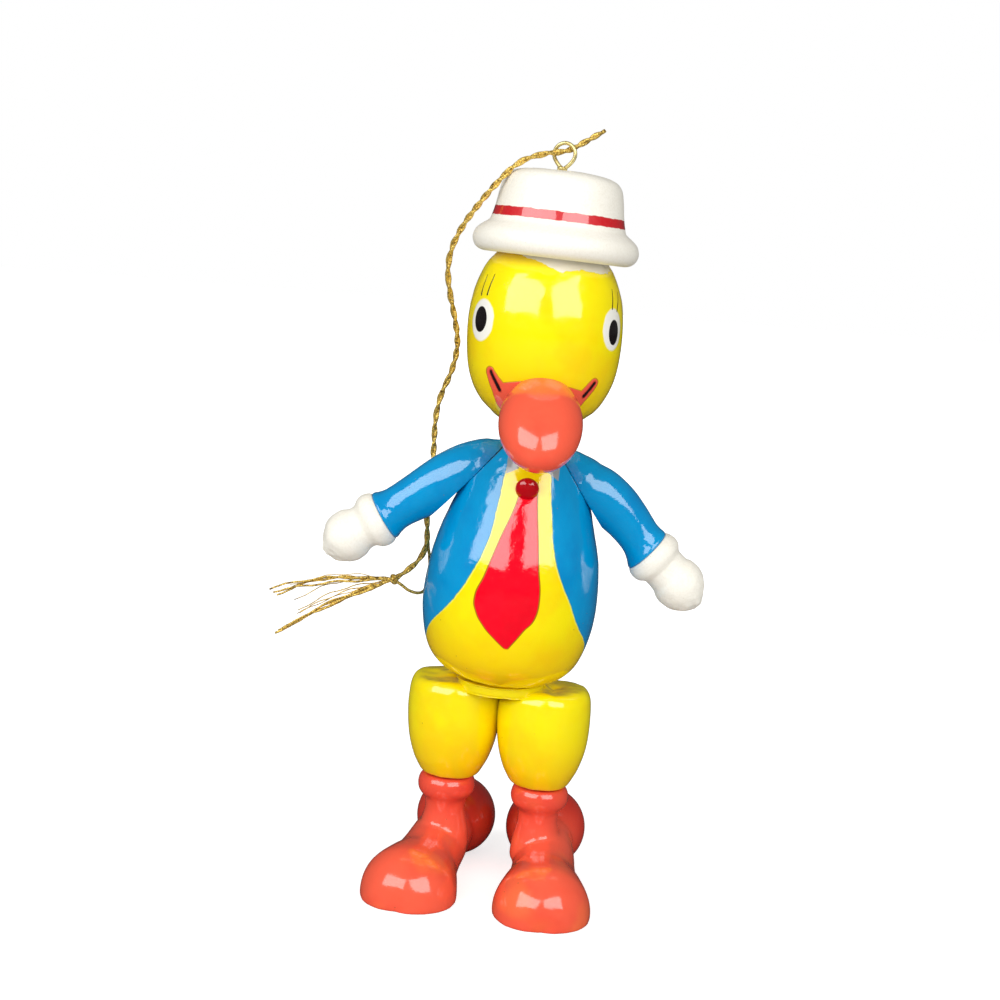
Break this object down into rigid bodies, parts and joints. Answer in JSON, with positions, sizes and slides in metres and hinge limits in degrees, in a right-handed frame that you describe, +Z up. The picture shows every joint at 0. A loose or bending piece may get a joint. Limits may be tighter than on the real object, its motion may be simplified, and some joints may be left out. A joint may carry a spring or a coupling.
{
  "type": "jointed wooden duck ornament",
  "caption": "Turned and painted wooden duck figure with a hat, jacket, tie and boots, turning head, arms and boots, and a gold hanging cord through a brass eye.",
  "frame": {"origin": "middle of the figure's footprint box, level with the soles (the free cord left out)", "axes": "+Z up through the figure, -Y the way it faces, +X towards its own left"},
  "size_m": [0.0671, 0.0404, 0.1167],
  "materials": {
    "torso_enamel": "gloss enamel: blue jacket, yellow shirt front and red tie",
    "yellow_enamel": "gloss enamel",
    "coral_enamel": "gloss enamel",
    "blue_enamel": "gloss enamel",
    "red_enamel": "gloss enamel",
    "ivory_paint": "matt paint",
    "birch_dowel": "bare turned wood",
    "brass_wire": "bright drawn wire",
    "gold_cord": "metallic thread, twisted in pairs"
  },
  "bodies": {
    "body": {"ankle_peg_left": "birch_dowel", "ankle_peg_right": "birch_dowel", "cord_knot": "gold_cord", "cord_tails": "gold_cord", "hanging_cord": "gold_cord", "hip_disc": "yellow_enamel", "hip_dowel_left": "birch_dowel", "hip_dowel_right": "birch_dowel", "neck_peg": "birch_dowel", "shoulder_peg_left": "birch_dowel", "shoulder_peg_right": "birch_dowel", "thigh_left": "yellow_enamel", "thigh_right": "yellow_enamel", "tie_knot": "red_enamel", "torso": "torso_enamel"},
    "head": {"head": "yellow_enamel", "beak": "coral_enamel", "beak_dowel": "birch_dowel", "hat": "ivory_paint", "hat_dowel": "birch_dowel", "screw_eye": "brass_wire"},
    "arm_left": {"sleeve_left": "blue_enamel", "hand_left": "ivory_paint", "wrist_dowel_left": "birch_dowel"},
    "arm_right": {"sleeve_right": "blue_enamel", "hand_right": "ivory_paint", "wrist_dowel_right": "birch_dowel"},
    "boot_left": {"ankle_spool_left": "coral_enamel", "shoe_left": "coral_enamel"},
    "boot_right": {"ankle_spool_right": "coral_enamel", "shoe_right": "coral_enamel"}
  },
  "joints": [
    {"name": "neck_turn", "type": "hinge", "parent": "body", "child": "head", "pos_m": [0.002, 0.00112, 0.066], "axis": [0, 0, 1], "range_deg": [-20, 5]},
    {"name": "shoulder_left_swing", "type": "hinge", "parent": "body", "child": "arm_left", "pos_m": [0.00862, 0.00112, 0.06375], "axis": [-0.831, 0, -0.5563], "range_deg": [-15, 60]},
    {"name": "shoulder_right_swing", "type": "hinge", "parent": "body", "child": "arm_right", "pos_m": [-0.00635, 0.00112, 0.06472], "axis": [-0.7524, 0, 0.6587], "range_deg": [-8, 60]},
    {"name": "ankle_left_swivel", "type": "hinge", "parent": "body", "child": "boot_left", "pos_m": [0.0069, 0.00132, 0.01625], "axis": [0, 0, 1], "range_deg": [-2, 4]},
    {"name": "ankle_right_swivel", "type": "hinge", "parent": "body", "child": "boot_right", "pos_m": [-0.0077, 0.00402, 0.01625], "axis": [0, 0, 1], "range_deg": [-2, 12]}
  ]
}
